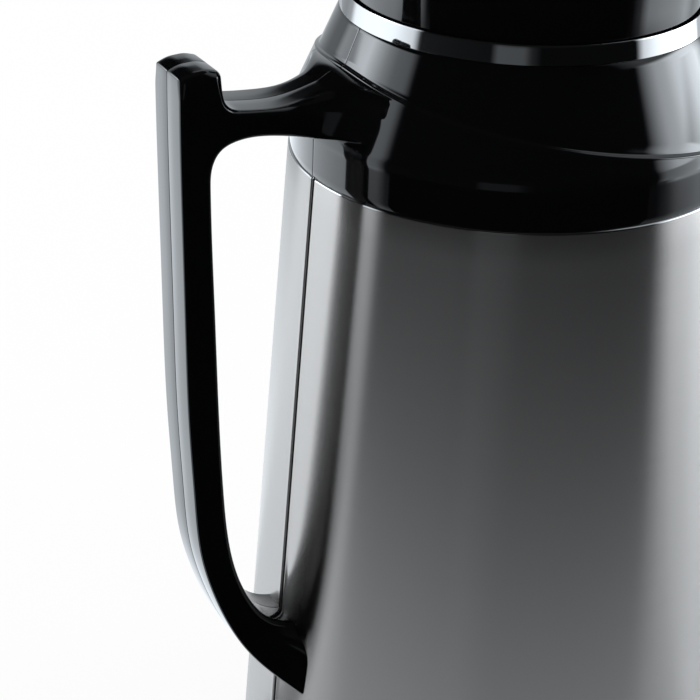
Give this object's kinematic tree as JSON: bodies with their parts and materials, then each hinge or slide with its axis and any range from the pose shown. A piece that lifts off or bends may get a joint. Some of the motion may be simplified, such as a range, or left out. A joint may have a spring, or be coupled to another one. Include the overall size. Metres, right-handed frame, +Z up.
{
  "type": "thermal carafe",
  "caption": "Tall conical vacuum jug: steel body, black shoulder with strap handle, bright mouth ring, screw-in stopper with beak and a thumb-lifted flip cover.",
  "frame": {"origin": "on the jug's axis, in the plane that the rubber foot ring stands on", "axes": "+Z up along the axis of the jug, -X towards the handle, +X towards the pouring beak"},
  "size_m": [0.1978, 0.1636, 0.3103],
  "materials": {
    "steel": "fine circumferential brushing",
    "black_gloss": "high gloss moulding",
    "black_satin": "satin moulding",
    "chrome": "polished",
    "zinc": "bright zinc plating",
    "rubber": "matt moulded rubber",
    "silicone": "translucent pale silicone",
    "silvered_glass": "silvered inside the vacuum gap",
    "pad": "pressed ceramic paper",
    "foam": "closed-cell foam"
  },
  "bodies": {
    "jug": {"outer_shell": "steel", "shoulder": "black_gloss", "trim_ring": "chrome", "neck_collar": "black_satin", "collar_screws": "zinc", "mouth_gasket": "rubber", "refill_outer": "silvered_glass", "refill_inner": "silvered_glass", "refill_spacers": "pad", "refill_cushion": "rubber", "base_ring": "black_satin", "base_plug": "black_satin", "foot_ring": "rubber", "handle_anchor": "zinc", "handle_screw": "zinc"},
    "seal_ring": {"stopper_gasket": "silicone"},
    "stopper": {"stopper_plug": "black_satin", "pour_tube": "black_satin", "vent_tube": "black_satin", "plug_cap": "black_satin", "plug_insulation": "foam", "plug_screws": "zinc", "lid_housing": "black_gloss", "lid_deck": "black_satin", "hinge_pin": "chrome", "hinge_spring": "zinc"},
    "cover": {"flip_cover": "black_gloss", "cover_liner": "black_satin", "pour_seal": "silicone", "vent_seal": "silicone"}
  },
  "joints": [
    {"name": "lid_lift", "type": "slide", "parent": "jug", "child": "seal_ring", "axis": [0, 0, 1], "range_m": [0, 0.048]},
    {"name": "lid_turn", "type": "hinge", "parent": "seal_ring", "child": "stopper", "pos_m": [0, 0, 0.27], "axis": [0, 0, 1], "range_deg": [0, 720]},
    {"name": "cover_hinge", "type": "hinge", "parent": "stopper", "child": "cover", "pos_m": [-0.057, 0, 0.2992], "axis": [0, -1, 0], "range_deg": [0, 55], "stiffness_Nm_per_rad": 0.06, "springref_deg": -28.65}
  ],
  "couplings": [
    {"joint": "lid_lift", "follows": "lid_turn", "m_per_rad": 0.0038197}
  ]
}
